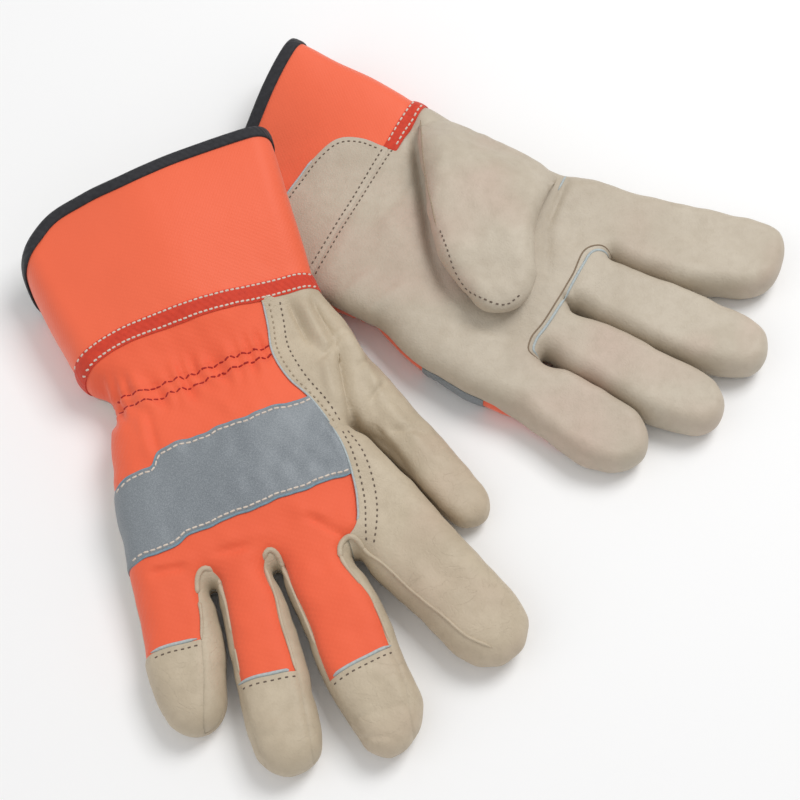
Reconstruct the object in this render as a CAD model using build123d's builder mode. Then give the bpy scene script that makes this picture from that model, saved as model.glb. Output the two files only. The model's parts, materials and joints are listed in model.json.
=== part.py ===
from build123d import *
from dataclasses import dataclass, field
from math import cos, radians, sin
import os

os.makedirs("parts", exist_ok=True)

# A pair of leather-palmed work gloves with safety cuffs, as laid down: the right-hand
# glove lies back up, with the thumb side of its cuff on the left-hand glove's cuff, and
# the left-hand glove lies palm up. Each glove is drawn in its own plane, whose Y points
# to the fingertips and whose X points away from the thumb. All lengths are in mm.

# Driving dimensions
WALL = 2.4  # leather or fabric with its lining
SKIN = 0.8  # a layer sewn on top, such as tape or a patch
FINGER_HEIGHT = 21.0
HAND_HEIGHT = 27.0
KNUCKLE_Y = 104.0  # where the fingers begin, from the cuff seam
KNUCKLE_GAP = 0.4  # clearance at each finger's base
CUFF_LENGTH = 64.0
SEAM_Y = 4.0  # the seam between hand and cuff
FINGER_EDGE_RADIUS = 7.5
PANEL_LEVEL = 3.4  # height of the flat front and back panels of a finger
TIP_LENGTH = 32.0  # leather fingertip cap
TAPE_Y = (62.0, 92.0)  # reflective tape across the back
ELASTIC_Y = (20.0, 36.0)
INDEX_PANEL_X = -23.0  # inner edge of the leather panel behind the index finger
BINDING_WIDTH = 7.0
SEAM_TAPE_WIDTH = 11.0
PATCH_X = (-24.0, 42.0)  # leather wrist patch that laps over the cuff
PATCH_Y = -24.0
PATCH_RADIUS = 18.0
SPLIT_LEVEL = 12.0  # height of the side seams between palm and back
THUMB_LEVEL = 27.0  # underside of the left thumb, folded on its palm
THUMB_HEIGHT = 19.0
THUMB_HINGE_X = -50.0
FOLDED_THUMB = ((-64.0, 41.0, 28.0), (-4.0, 54.0, 16.0), (12.0, 75.0, 13.5))  # X, Y, radius
THUMB_EDGE_RADIUS = 7.0
LAID_EDGE = 0.05  # lift of an edge that lies on the floor
OVERRUN = 12.0  # how far a form runs past the plane that trims it
LEDGE_FALL = 26.0  # width over which a raised underside comes down to the floor


@dataclass
class Finger:
    name: str
    root: tuple  # X and Y of the middle of its base
    tilt: float  # degrees from the glove's Y towards its X
    base_width: float
    width: float
    length: float


@dataclass
class Glove:
    name: str
    origin: tuple  # middle of the cuff seam
    turn: float  # direction of the fingers, degrees from the row's X
    palm_up: bool
    fingers: list
    hand: list  # sections: Y, left X, right X, heights, lift and end of the raised underside
    cuff: list
    plane: Plane = field(init=False)

    def __post_init__(self):
        across = radians(self.turn - 90)
        self.plane = Plane((*self.origin, 0), x_dir=(cos(across), sin(across), 0), z_dir=(0, 0, 1))


RIGHT = Glove(
    name="right",
    origin=(-81.1, 26.8),
    turn=-67.5,
    palm_up=False,
    fingers=[
        Finger("index", (-34.4, KNUCKLE_Y), -20.0, 27.4, 33.0, 82.0),
        Finger("middle", (-3.7, KNUCKLE_Y), -2.0, 30.4, 31.0, 94.0),
        Finger("ring", (24.4, KNUCKLE_Y), 7.5, 23.6, 27.5, 84.0),
        Finger("little", (51.1, KNUCKLE_Y), 9.0, 27.4, 28.0, 58.0),
    ],
    hand=[
        (SEAM_Y, -49, 56, (28, 33, 29), 13, -32),
        (24, -51, 49, (26, 29, 26), 4, -32),
        (45, -46, 56, (26, 29, 26), LAID_EDGE, -32),
        (66, -38.5, 61, (25, 28, 25), LAID_EDGE, -25),
        (85, -43, 64, (24, 26, 23), LAID_EDGE, -28),
        (KNUCKLE_Y - KNUCKLE_GAP, -48.5, 66, (21, 22, 20), LAID_EDGE, -32),
    ],
    cuff=[
        (SEAM_Y - CUFF_LENGTH, -53, 62, (43, 46, 36), 24, -22),
        (-28, -52, 61, (39, 42, 34), 17, -12),
        (SEAM_Y, -49, 56, (28, 33, 29), 13, -32),
    ],
)
THUMB_ROOT = ((-42.0, 30.0, 11.5), (-53.0, 76.0, 10.8))  # X, Y, radius
RIGHT_THUMB = Finger("thumb", (-50.0, 63.6), -17.0, 22.0, 21.5, 58.0)

LEFT = Glove(
    name="left",
    origin=(-20.1, 81.8),
    turn=-28.0,
    palm_up=True,
    fingers=[
        Finger("index", (-41.0, KNUCKLE_Y), -14.0, 26.3, 33.0, 72.0),
        Finger("middle", (-12.3, KNUCKLE_Y), -1.5, 28.6, 29.0, 78.0),
        Finger("ring", (15.2, KNUCKLE_Y), 3.0, 25.2, 26.6, 73.0),
        Finger("little", (42.4, KNUCKLE_Y), 6.0, 25.8, 27.0, 53.0),
    ],
    hand=[
        (SEAM_Y, -57, 45, (26, 20, 11), LAID_EDGE, -20),
        (24, -53, 47, (24, 24, 20), LAID_EDGE, -20),
        (45, -52, 51, (24, 26, 23), LAID_EDGE, -20),
        (66, -52.5, 55, (24, 26, 23), LAID_EDGE, -20),
        (85, -54, 57, (23, 25, 22), LAID_EDGE, -20),
        (KNUCKLE_Y - KNUCKLE_GAP, -55, 56, (21, 22, 20), LAID_EDGE, -20),
    ],
    cuff=[
        (SEAM_Y - CUFF_LENGTH, -57, 45, (34, 16, 9), LAID_EDGE, -20),
        (-28, -58, 45, (31, 17, 10), LAID_EDGE, -20),
        (SEAM_Y, -57, 45, (26, 20, 11), LAID_EDGE, -20),
    ],
)


def save(piece, name):
    """Label a finished piece and write its STEP file."""
    piece.part.label = name
    export_step(piece.part, f"parts/{name}.step")


def across_plane(glove, y, height=0):
    """Plane across the glove at y, drawn in X and height; its normal points to the cuff."""
    at = glove.plane.from_local_coords(Vector(0, y, height))
    return Plane(at, x_dir=glove.plane.x_dir, z_dir=-glove.plane.y_dir)


def side_plane(glove, x):
    """Upright plane along the glove at x, whose normal points away from the thumb."""
    at = glove.plane.from_local_coords(Vector(x, 0, 0))
    return Plane(at, x_dir=glove.plane.y_dir, z_dir=glove.plane.x_dir)


def level_plane(glove, depth, thickness):
    """Level plane at a depth from the palm side, whose normal points to the back."""
    if glove.palm_up:
        return Plane((0, 0, thickness - depth), x_dir=(1, 0, 0), z_dir=(0, 0, -1))
    return Plane.XY.offset(depth)


def section_outline(left, right, heights, lift, ledge_end):
    """A flattened oval from X left to right, flat on the floor past a raised underside."""
    width = right - left
    near_fold = 0.5 * (heights[0] - lift)
    far_fold = 0.5 * heights[2]
    return (
        (ledge_end + LEDGE_FALL, 0),
        (right - 0.9 * far_fold, 0),
        (right - 0.25 * far_fold, 0.35 * far_fold),
        (right, far_fold),
        (right - 0.25 * far_fold, 1.6 * far_fold),
        (right - 0.9 * far_fold, 2 * far_fold),
        (right - 0.3 * width, 0.5 * (heights[1] + heights[2]) + 1),
        (right - 0.5 * width, heights[1]),
        (right - 0.7 * width, 0.5 * (heights[0] + heights[1]) + 1),
        (left + 0.9 * near_fold, lift + 2 * near_fold),
        (left + 0.25 * near_fold, lift + 1.6 * near_fold),
        (left, lift + near_fold),
        (left + 0.25 * near_fold, lift + 0.35 * near_fold),
        (left + 0.9 * near_fold, lift),
        (ledge_end, 0.8 * lift),
    )


def hollow_form(glove, sections, inset):
    """The hand or cuff through its sections, all drawn inset by a wall thickness."""
    with BuildPart() as form:
        for y, left, right, heights, lift, ledge_end in sections:
            inner_heights = [height - 2 * inset for height in heights]
            outline = section_outline(
                left + inset, right - inset, inner_heights, lift, ledge_end
            )
            with BuildSketch(across_plane(glove, y, inset)):
                with BuildLine():
                    Polyline(*outline, close=True)
                make_face()
        loft(ruled=True)
    return form.part


def finger_plane(glove, finger):
    """Level plane with its origin at the finger's base and Y along the finger."""
    at = glove.plane.from_local_coords(Vector(*finger.root, 0))
    x_dir = glove.plane.x_dir.rotate(Axis.Z, -finger.tilt)
    return Plane(at, x_dir=x_dir, z_dir=(0, 0, 1))


def rounded_pod(level, circles, height, edge_radius):
    """A closed pod over the hull of some circles, with its top and bottom edges rounded."""
    with BuildPart() as pod:
        with BuildSketch(level):
            for x, y, radius in circles:
                with Locations((x, y)):
                    Circle(radius)
            make_hull()
        extrude(amount=height)
        flats = pod.faces().sort_by(Axis.Z)
        fillet(flats[0].edges() + flats[-1].edges(), edge_radius)
    return pod.part


def finger_form(glove, finger, inset):
    """A finger's outer form, or its cavity when the inset is the wall thickness."""
    level = finger_plane(glove, finger).offset(inset)
    side = finger.width / 2
    circles = (
        (0, -OVERRUN, finger.base_width / 2 - inset),
        (0, finger.length - side, side - inset),
    )
    return rounded_pod(level, circles, FINGER_HEIGHT - 2 * inset, FINGER_EDGE_RADIUS - inset)


def finger_shell(glove, finger, base_plane):
    """A finger's hollow shell, cut off square to the floor at its base."""
    with BuildPart() as shell:
        add(finger_form(glove, finger, 0))
        add(finger_form(glove, finger, WALL), mode=Mode.SUBTRACT)
        split(bisect_by=base_plane, keep=Keep.TOP)
    return shell.part


def tip_plane(glove, finger):
    """Upright plane across a finger where its leather tip begins; normal to the tip."""
    level = finger_plane(glove, finger)
    at = level.from_local_coords(Vector(0, finger.length - TIP_LENGTH, 0))
    return Plane(at, x_dir=-level.x_dir, z_dir=level.y_dir)


def knuckle_plane(glove, y):
    """Upright plane across the glove whose normal points to the fingertips."""
    at = glove.plane.from_local_coords(Vector(0, y, 0))
    return Plane(at, x_dir=-glove.plane.x_dir, z_dir=glove.plane.y_dir)


def build_fabric_finger(glove, finger):
    """A finger with a leather front and tip, a fabric back and side walls between them."""
    shell = finger_shell(glove, finger, knuckle_plane(glove, KNUCKLE_Y))
    name = f"{glove.name}_{finger.name}"
    front_level = level_plane(glove, PANEL_LEVEL, FINGER_HEIGHT)
    back_level = level_plane(glove, FINGER_HEIGHT - PANEL_LEVEL, FINGER_HEIGHT)
    tip = tip_plane(glove, finger)

    with BuildPart() as front:
        add(shell)
        split(bisect_by=front_level, keep=Keep.BOTTOM)
    save(front, f"{name}_front")

    with BuildPart() as back:
        add(shell)
        split(bisect_by=back_level, keep=Keep.TOP)
        split(bisect_by=tip, keep=Keep.BOTTOM)
    save(back, f"{name}_back")

    with BuildPart() as side_walls:
        add(shell)
        split(bisect_by=front_level, keep=Keep.TOP)
        split(bisect_by=back_level, keep=Keep.BOTTOM)
        split(bisect_by=tip, keep=Keep.BOTTOM)
    save(side_walls, f"{name}_side_walls")

    with BuildPart() as tip_cap:
        add(shell)
        split(bisect_by=front_level, keep=Keep.TOP)
        split(bisect_by=tip, keep=Keep.TOP)
    save(tip_cap, f"{name}_tip_cap")


def build_leather_finger(glove, finger, shell, side_seam):
    """An all-leather finger or thumb, whose front and back halves meet at its side seams."""
    name = f"{glove.name}_{finger.name}"
    with BuildPart() as front:
        add(shell)
        split(bisect_by=side_seam, keep=Keep.BOTTOM)
    save(front, f"{name}_front")

    with BuildPart() as back:
        add(shell)
        split(bisect_by=side_seam, keep=Keep.TOP)
    save(back, f"{name}_back")


def keep_band(glove, y_range):
    """Trim the current part to a band across the glove."""
    split(bisect_by=knuckle_plane(glove, y_range[0]), keep=Keep.TOP)
    split(bisect_by=knuckle_plane(glove, y_range[1]), keep=Keep.BOTTOM)


def open_ended(sections):
    """The same sections, run past both ends so that a cavity cuts them open."""
    first, *middle, last = sections
    return [(first[0] - 1, *first[1:]), *middle, (last[0] + 1, *last[1:])]


def build_hand(glove):
    """The palm with its lining, and the back with its tape, elastic and index panel."""
    outer = hollow_form(glove, glove.hand, 0)
    side_seam = level_plane(glove, SPLIT_LEVEL, HAND_HEIGHT)
    hand_run = open_ended(glove.hand)
    cavity = hollow_form(glove, hand_run, WALL)
    lining_outside = hollow_form(glove, hand_run, WALL - SKIN)
    under_tape = hollow_form(glove, hand_run, SKIN)
    index_edge = side_plane(glove, INDEX_PANEL_X)

    with BuildPart() as palm:
        add(outer)
        add(lining_outside, mode=Mode.SUBTRACT)
        split(bisect_by=side_seam, keep=Keep.BOTTOM)
    save(palm, f"{glove.name}_palm_leather")

    with BuildPart() as lining:
        add(lining_outside)
        add(cavity, mode=Mode.SUBTRACT)
        keep_band(glove, (SEAM_Y, KNUCKLE_Y - KNUCKLE_GAP))
        split(bisect_by=side_seam, keep=Keep.BOTTOM)
    save(lining, f"{glove.name}_palm_lining")

    with BuildPart() as tape:
        add(outer)
        add(under_tape, mode=Mode.SUBTRACT)
        keep_band(glove, TAPE_Y)
        split(bisect_by=side_seam, keep=Keep.TOP)
        split(bisect_by=index_edge, keep=Keep.TOP)
    save(tape, f"{glove.name}_reflective_tape")

    with BuildPart() as elastic:
        add(lining_outside)
        add(cavity, mode=Mode.SUBTRACT)
        keep_band(glove, ELASTIC_Y)
        split(bisect_by=side_seam, keep=Keep.TOP)
        split(bisect_by=index_edge, keep=Keep.TOP)
    save(elastic, f"{glove.name}_wrist_elastic")

    with BuildPart() as back:
        add(outer)
        add(cavity, mode=Mode.SUBTRACT)
        split(bisect_by=side_seam, keep=Keep.TOP)
        split(bisect_by=index_edge, keep=Keep.TOP)
        add(tape.part, mode=Mode.SUBTRACT)
        add(elastic.part, mode=Mode.SUBTRACT)
    save(back, f"{glove.name}_back_panel")

    with BuildPart() as index_panel:
        add(outer)
        add(cavity, mode=Mode.SUBTRACT)
        split(bisect_by=side_seam, keep=Keep.TOP)
        split(bisect_by=index_edge, keep=Keep.BOTTOM)
    save(index_panel, f"{glove.name}_index_panel")


def build_cuff(glove):
    """The safety cuff in two halves, with its lining, binding, seam tape and wrist patch."""
    outer = hollow_form(glove, glove.cuff, 0)
    cuff_run = open_ended(glove.cuff)
    cavity = hollow_form(glove, cuff_run, WALL)
    lining_outside = hollow_form(glove, cuff_run, WALL - SKIN)
    under_skin = hollow_form(glove, cuff_run, SKIN)
    side_fold = level_plane(glove, SPLIT_LEVEL, HAND_HEIGHT)
    mouth_y = SEAM_Y - CUFF_LENGTH
    binding_edge = knuckle_plane(glove, mouth_y + BINDING_WIDTH)

    with BuildPart() as binding:
        add(outer)
        add(cavity, mode=Mode.SUBTRACT)
        split(bisect_by=binding_edge, keep=Keep.BOTTOM)
    save(binding, f"{glove.name}_cuff_binding")

    with BuildPart() as lining:
        add(lining_outside)
        add(cavity, mode=Mode.SUBTRACT)
        keep_band(glove, (mouth_y + BINDING_WIDTH, SEAM_Y))
    save(lining, f"{glove.name}_cuff_lining")

    with BuildPart() as patch:
        add(outer)
        add(under_skin, mode=Mode.SUBTRACT)
        split(bisect_by=side_fold, keep=Keep.BOTTOM)
        with BuildSketch(glove.plane.offset(-HAND_HEIGHT)):
            with BuildLine():
                FilletPolyline(
                    (PATCH_X[0], SEAM_Y + 1),
                    (PATCH_X[0], PATCH_Y),
                    (PATCH_X[1], PATCH_Y),
                    (PATCH_X[1], SEAM_Y + 1),
                    radius=PATCH_RADIUS,
                )
                Line((PATCH_X[1], SEAM_Y + 1), (PATCH_X[0], SEAM_Y + 1))
            make_face()
        extrude(amount=4 * HAND_HEIGHT, mode=Mode.INTERSECT)
    save(patch, f"{glove.name}_wrist_patch")

    with BuildPart() as seam_tape:
        add(outer)
        add(under_skin, mode=Mode.SUBTRACT)
        split(bisect_by=knuckle_plane(glove, SEAM_Y - SEAM_TAPE_WIDTH), keep=Keep.TOP)
        add(patch.part, mode=Mode.SUBTRACT)
    save(seam_tape, f"{glove.name}_seam_tape")

    for half, kept in (("palm", Keep.BOTTOM), ("back", Keep.TOP)):
        with BuildPart() as cuff:
            add(outer)
            add(lining_outside, mode=Mode.SUBTRACT)
            split(bisect_by=binding_edge, keep=Keep.TOP)
            split(bisect_by=side_fold, keep=kept)
            add(patch.part, mode=Mode.SUBTRACT)
            add(seam_tape.part, mode=Mode.SUBTRACT)
        save(cuff, f"{glove.name}_cuff_{half}")


def folded_thumb_form(inset):
    """The left thumb, which lies folded across the palm from its hinge line."""
    level = LEFT.plane.offset(THUMB_LEVEL + inset)
    circles = [(x, y, radius - inset) for x, y, radius in FOLDED_THUMB]
    return rounded_pod(level, circles, THUMB_HEIGHT - 2 * inset, THUMB_EDGE_RADIUS - inset)


def build_left_thumb():
    with BuildPart() as shell:
        add(folded_thumb_form(0))
        add(folded_thumb_form(WALL), mode=Mode.SUBTRACT)
        split(bisect_by=side_plane(LEFT, THUMB_HINGE_X), keep=Keep.TOP)
    middle = Plane.XY.offset(THUMB_LEVEL + THUMB_HEIGHT / 2)
    build_leather_finger(LEFT, Finger("thumb", (0, 0), 0, 0, 0, 0), shell.part, middle)


def build_right_thumb():
    """The right thumb, which lies beside the index finger, and the leather at its root."""
    own_base = finger_plane(RIGHT, RIGHT_THUMB)
    across = Plane(own_base.origin, x_dir=-own_base.x_dir, z_dir=own_base.y_dir)
    shell = finger_shell(RIGHT, RIGHT_THUMB, across)
    side_seam = level_plane(RIGHT, FINGER_HEIGHT / 2, FINGER_HEIGHT)
    build_leather_finger(RIGHT, RIGHT_THUMB, shell, side_seam)

    hand = hollow_form(RIGHT, RIGHT.hand, 0)
    with BuildPart() as thumb_base:
        for inset, mode in ((0, Mode.ADD), (WALL, Mode.SUBTRACT)):
            circles = [(x, y, radius - inset) for x, y, radius in THUMB_ROOT]
            level = RIGHT.plane.offset(inset)
            height = FINGER_HEIGHT - 2 * inset
            add(rounded_pod(level, circles, height, FINGER_EDGE_RADIUS - inset), mode=mode)
        split(bisect_by=across.offset(-KNUCKLE_GAP), keep=Keep.BOTTOM)
        add(hand, mode=Mode.SUBTRACT)
    save(thumb_base, "right_thumb_base")


for one_glove in (RIGHT, LEFT):
    build_hand(one_glove)
    build_cuff(one_glove)
    index, *fabric_fingers = one_glove.fingers
    index_base = knuckle_plane(one_glove, KNUCKLE_Y)
    index_shell = finger_shell(one_glove, index, index_base)
    index_seam = level_plane(one_glove, FINGER_HEIGHT / 2, FINGER_HEIGHT)
    build_leather_finger(one_glove, index, index_shell, index_seam)
    for fabric_finger in fabric_fingers:
        build_fabric_finger(one_glove, fabric_finger)

build_right_thumb()
build_left_thumb()
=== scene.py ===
from dataclasses import dataclass
from math import cos, pi, radians, sin
import json

import bpy
import numpy as np
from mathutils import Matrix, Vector
from mathutils.bvhtree import BVHTree
from mathutils.kdtree import KDTree


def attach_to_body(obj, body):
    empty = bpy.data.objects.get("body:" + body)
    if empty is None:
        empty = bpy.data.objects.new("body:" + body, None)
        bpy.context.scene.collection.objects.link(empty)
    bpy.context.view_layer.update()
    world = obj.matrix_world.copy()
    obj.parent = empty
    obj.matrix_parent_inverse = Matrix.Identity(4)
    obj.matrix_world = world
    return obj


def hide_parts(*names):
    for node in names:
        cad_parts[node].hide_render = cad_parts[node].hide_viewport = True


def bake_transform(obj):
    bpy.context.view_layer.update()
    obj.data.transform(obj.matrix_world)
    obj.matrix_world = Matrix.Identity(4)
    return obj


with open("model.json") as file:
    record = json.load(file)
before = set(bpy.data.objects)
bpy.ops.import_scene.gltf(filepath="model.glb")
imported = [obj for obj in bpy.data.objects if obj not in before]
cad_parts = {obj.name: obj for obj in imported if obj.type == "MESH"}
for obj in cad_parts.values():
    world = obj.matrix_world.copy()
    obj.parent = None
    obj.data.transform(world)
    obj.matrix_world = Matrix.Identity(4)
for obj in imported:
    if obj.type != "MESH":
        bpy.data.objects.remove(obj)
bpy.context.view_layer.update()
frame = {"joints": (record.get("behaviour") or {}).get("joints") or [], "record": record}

# A pair of leather-palmed work gloves. Each glove is drawn in its own plane in
# millimetres: Y points to the fingertips, X away from the thumb, Z up. The right glove
# lies back up on the left glove's cuff, and the left glove lies palm up.
MM = 0.001
CELL = 1.1  # spacing of the grid that a skin is drawn on
MARGIN = 3.0  # room round a form on that grid
FORM_TOP = 48.0  # above every form
ROUNDNESS = 2.25  # 2 gives an elliptical edge, and more a squarer one
OUTLINE_STEP = 0.7  # spacing of the points that distances in plan are measured to
OUTSIDE = -50.0  # the value of a field where it doesn't apply
ON_EDGE = 0.05  # a point whose field is nearer zero than this lies on that cut
LEATHER, FABRIC, CUFF, TAPE = 1.3, 1.0, 2.2, 0.6  # thicknesses
LINING, ELASTIC, SEAM_TAPE = 0.7, 0.9, 0.9
HAND_START, HAND_WIDTH = -50, 108  # X that the three columns of heights spread over
EDGE_ROWS = (-60, 4, 60, 110, 200)  # Y that the radii of the edges are given at
THUMB_DROP = 6.0  # how much lower the standing thumb is than the hand
THUMB_START = 50.0  # Y from which it is apart from the hand
THUMB_CROTCH = (-38.3, 70.5)
LEDGE_FALL = 26.0  # width of the slope under a raised cuff
BEND_START, BEND_LENGTH, BEND_HEIGHT = 1.4, 24.0, 10.0  # a finger's bend, from its crotch
LITTLE_EDGE = 66.0  # X of the little finger's far side, at its cap
FINGERS = ("index", "middle", "ring", "little")
THUMB = -1  # its number, where the fingers count from 0
RNG = np.random.default_rng(11)


# ---------------------------------------------------------------- shapes in plan
def lengths(v):
    return np.linalg.norm(v, axis=1)


def cubic(t, start, slope, end, far_slope):
    """A cubic from start to end, given its slopes at both."""
    return (
        start * (2 * t**3 - 3 * t**2 + 1)
        + slope * (t**3 - 2 * t**2 + t)
        + end * (3 * t**2 - 2 * t**3)
        + far_slope * (t**3 - t**2)
    )


def smooth_closed(points, steps=7):
    """A smooth closed line through the points."""
    p = np.array(points, float)
    before, after = np.roll(p, 1, 0), np.roll(p, -1, 0)
    back, ahead = lengths(p - before)[:, None], lengths(after - p)[:, None]
    slope = ((after - p) / ahead * back + (p - before) / back * ahead) / (ahead + back)
    t = (np.arange(steps) / steps)[:, None, None]
    line = cubic(t, p, slope * ahead, after, np.roll(slope, -1, 0) * ahead)
    return line.transpose(1, 0, 2).reshape(-1, 2)


def smooth_open(points, step=1.0):
    """A smooth line through the points, with about one point a step."""
    p = np.array(points, float)
    along = np.r_[0, np.cumsum(lengths(np.diff(p, axis=0)))]
    at = np.linspace(0, along[-1], max(2, int(along[-1] / step)))
    return np.stack([curve(at, along, p[:, k]) for k in range(p.shape[1])], axis=1)


def curve(at, knots, values):
    """Smooth interpolation of values at the knots, level beyond them."""
    knots, values = np.array(knots, float), np.array(values, float)
    if len(knots) > 2:
        slopes = np.gradient(values, knots)
    else:
        slopes = np.diff(values).repeat(2) / np.diff(knots)
    at = np.clip(at, knots[0], knots[-1])
    i = np.clip(np.searchsorted(knots, at) - 1, 0, len(knots) - 2)
    h = knots[i + 1] - knots[i]
    t = (at - knots[i]) / h
    return cubic(t, values[i], slopes[i] * h, values[i + 1], slopes[i + 1] * h)


def columns(at, rows):
    """The curve of each column of a table, whose first column says where a row is."""
    places, *rest = zip(*rows)
    return [curve(at, places, values) for values in rest]


def ramp(x, low, high):
    """0 below low, 1 above high, smooth between."""
    t = np.clip((x - low) / (high - low), 0, 1)
    return t * t * (3 - 2 * t)



def nearest_tree(points):
    tree = KDTree(len(points))
    for k, p in enumerate(points):
        tree.insert(p, k)
    tree.balance()
    return tree


def plan_distance(points, outline):
    """How far each point is inside a closed outline, and the way in which that grows."""
    e = np.roll(outline, -1, 0) - outline
    pieces = np.maximum(np.ceil(lengths(e) / OUTLINE_STEP), 1).astype(int)
    line = [p + d * (np.arange(n) / n)[:, None] for p, d, n in zip(outline, e, pieces)]
    line = np.concatenate(line)
    e = np.roll(line, -1, 0) - line
    n = np.stack([-e[:, 1], e[:, 0]], 1) / lengths(e)[:, None]
    if (line[:, 0] * e[:, 1] - line[:, 1] * e[:, 0]).sum() < 0:
        n = -n
    tree = nearest_tree([(*p, 0) for p in line])
    nearest = np.array([tree.find((px, py, 0))[1] for px, py in points])
    best = np.full(len(points), np.inf)
    off, side = np.zeros_like(points), np.ones(len(points))
    for start in (nearest - 1, nearest):
        start = start % len(line)
        d = e[start]
        t = np.clip(((points - line[start]) * d).sum(1) / (d**2).sum(1), 0, 1)
        r = points - line[start] - d * t[:, None]
        length = lengths(r)
        inward = n[start] + n[start - 1] * (t == 0)[:, None]
        inward = inward + n[(start + 1) % len(line)] * (t == 1)[:, None]
        closer = length < best
        best[closer], off[closer] = length[closer], r[closer]
        side[closer] = np.where((r * inward).sum(1) >= 0, 1.0, -1.0)[closer]
    return side * best, off / (best[:, None] + 1e-9) * side[:, None]


class Waves:
    """Smooth random relief: a sum of plane waves of about one size."""

    def __init__(self, size, count=14):
        turn = RNG.uniform(0, 2 * pi, count)
        pitch = 2 * pi / (size * RNG.uniform(0.7, 1.5, count))
        self.k = np.stack([np.cos(turn), np.sin(turn)], 1) * pitch[:, None]
        self.phase = RNG.uniform(0, 2 * pi, count)
        self.scale = (2 / count) ** 0.5

    def __call__(self, x, y):
        total = np.zeros(np.shape(x))
        for (kx, ky), phase in zip(self.k, self.phase):
            total += np.sin(kx * x + ky * y + phase)
        return total * self.scale


# ---------------------------------------------------------------- the two gloves
def named(items, name):
    return next(item for item in items if item["name"] == name)


@dataclass
class Glove:
    name: str
    palm_up: bool
    mouth_at: tuple  # the cuff mouth mount's X and Y in the glove's plane
    outline: list
    back: list  # outline of the fabric back with its finger strips, seen in plan
    gaps: dict  # X of the gap beside each finger, at the Ys given
    slits: list  # where the gaps between fingers end
    tops: list  # Y, then the height at the thumb side, the middle and the far side
    lifts: list  # Y, height of a raised underside, X where it begins to fall to the floor
    tips: dict  # finger: Y of its cap's seam at the thumb side and at the far side
    seam: list  # X, Y of the seam between hand and cuff
    band: tuple  # how far past that seam the tape's middle is, and half the tape's width
    split: list  # Y, height of the side seams
    edges: tuple  # how far in from the outline the skin is rounded, from the cuff to the tips
    widest: float  # height of the glove's widest line, as a share of its thickness

    def __post_init__(self):
        mount = named(frame["record"]["mounts"], f"{self.name}_cuff_mouth")
        self.y_dir = -np.array(mount["axis"][:2])
        self.x_dir = np.array([self.y_dir[1], -self.y_dir[0]])
        at = np.array(mount["pos_m"][:2]) / MM
        self.origin = at - self.x_dir * self.mouth_at[0] - self.y_dir * self.mouth_at[1]
        self.body = f"{self.name}_hand"
        self.line = smooth_closed(self.outline)
        self.back_line = smooth_closed(self.back)
        self.finish = {}
        self.bends = {}  # where each finger begins to bend, and where it is fully bent
        self.surfaces, self.tree = [], None  # the finished surface, which seams lie on

    def to_row(self, p):
        """From the glove's own millimetres to the row frame's metres."""
        p = np.asarray(p, float)
        flat = self.origin + p[..., :1] * self.x_dir + p[..., 1:2] * self.y_dir
        return np.concatenate([flat, p[..., 2:3]], axis=-1) * MM

    def to_plan(self, p):
        d = np.array(p[:2]) / MM - self.origin
        return np.array([d @ self.x_dir, d @ self.y_dir])

    def fingers(self):
        """Name, base point and direction of each finger in plan, from its joint."""
        found = {}
        for joint in frame["joints"]:
            words = joint["name"].split("_")
            if words[0] == self.name and words[-1] == "flex":
                u = np.array(joint["axis"][:2]) * (1 if self.palm_up else -1)
                across = np.array([u @ self.x_dir, u @ self.y_dir])
                found[words[1]] = (self.to_plan(joint["pos_m"]), np.array([-across[1], across[0]]))
        return found

    def gap_x(self, name, y):
        return np.interp(y, *zip(*self.gaps[name]))

    def finger_at(self, x, y):
        """Number of the finger at each point in plan, from the thumb side."""
        number = sum((x > self.gap_x(gap, y)).astype(int) for gap in FINGERS[:3])
        if "thumb" in self.gaps:
            number = np.where((x < self.gap_x("thumb", y)) & (y > THUMB_START), THUMB, number)
        return number

    def cap_y(self, name, x):
        """Y of the seam of a fingertip's cap."""
        thumb_side, far_side = self.tips[name]
        start = self.gap_x(FINGERS[FINGERS.index(name) - 1], thumb_side)
        end = LITTLE_EDGE if name == "little" else self.gap_x(name, far_side)
        return np.interp(x, (start, end), (thumb_side, far_side))

    def heights(self, x, y):
        """Heights of the underside and of the top, away from the edges."""
        thumb, middle, far = columns(y, self.tops)
        t = np.clip((x - HAND_START) / HAND_WIDTH, 0, 1)
        near = thumb + (middle - thumb) * ramp(t, 0, 0.5)
        top = np.where(t < 0.5, near, middle + (far - middle) * ramp(t, 0.5, 1))
        if "thumb" in self.gaps:
            beside = ramp(self.gap_x("thumb", y) - x, -3, 11)
            top = top - THUMB_DROP * beside * ramp(y, 5, 45)
        lift, start = columns(y, self.lifts)
        return lift * (1 - ramp(x, start, start + LEDGE_FALL)), top

    def edge_radius(self, y):
        return curve(y, EDGE_ROWS, self.edges)


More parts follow.
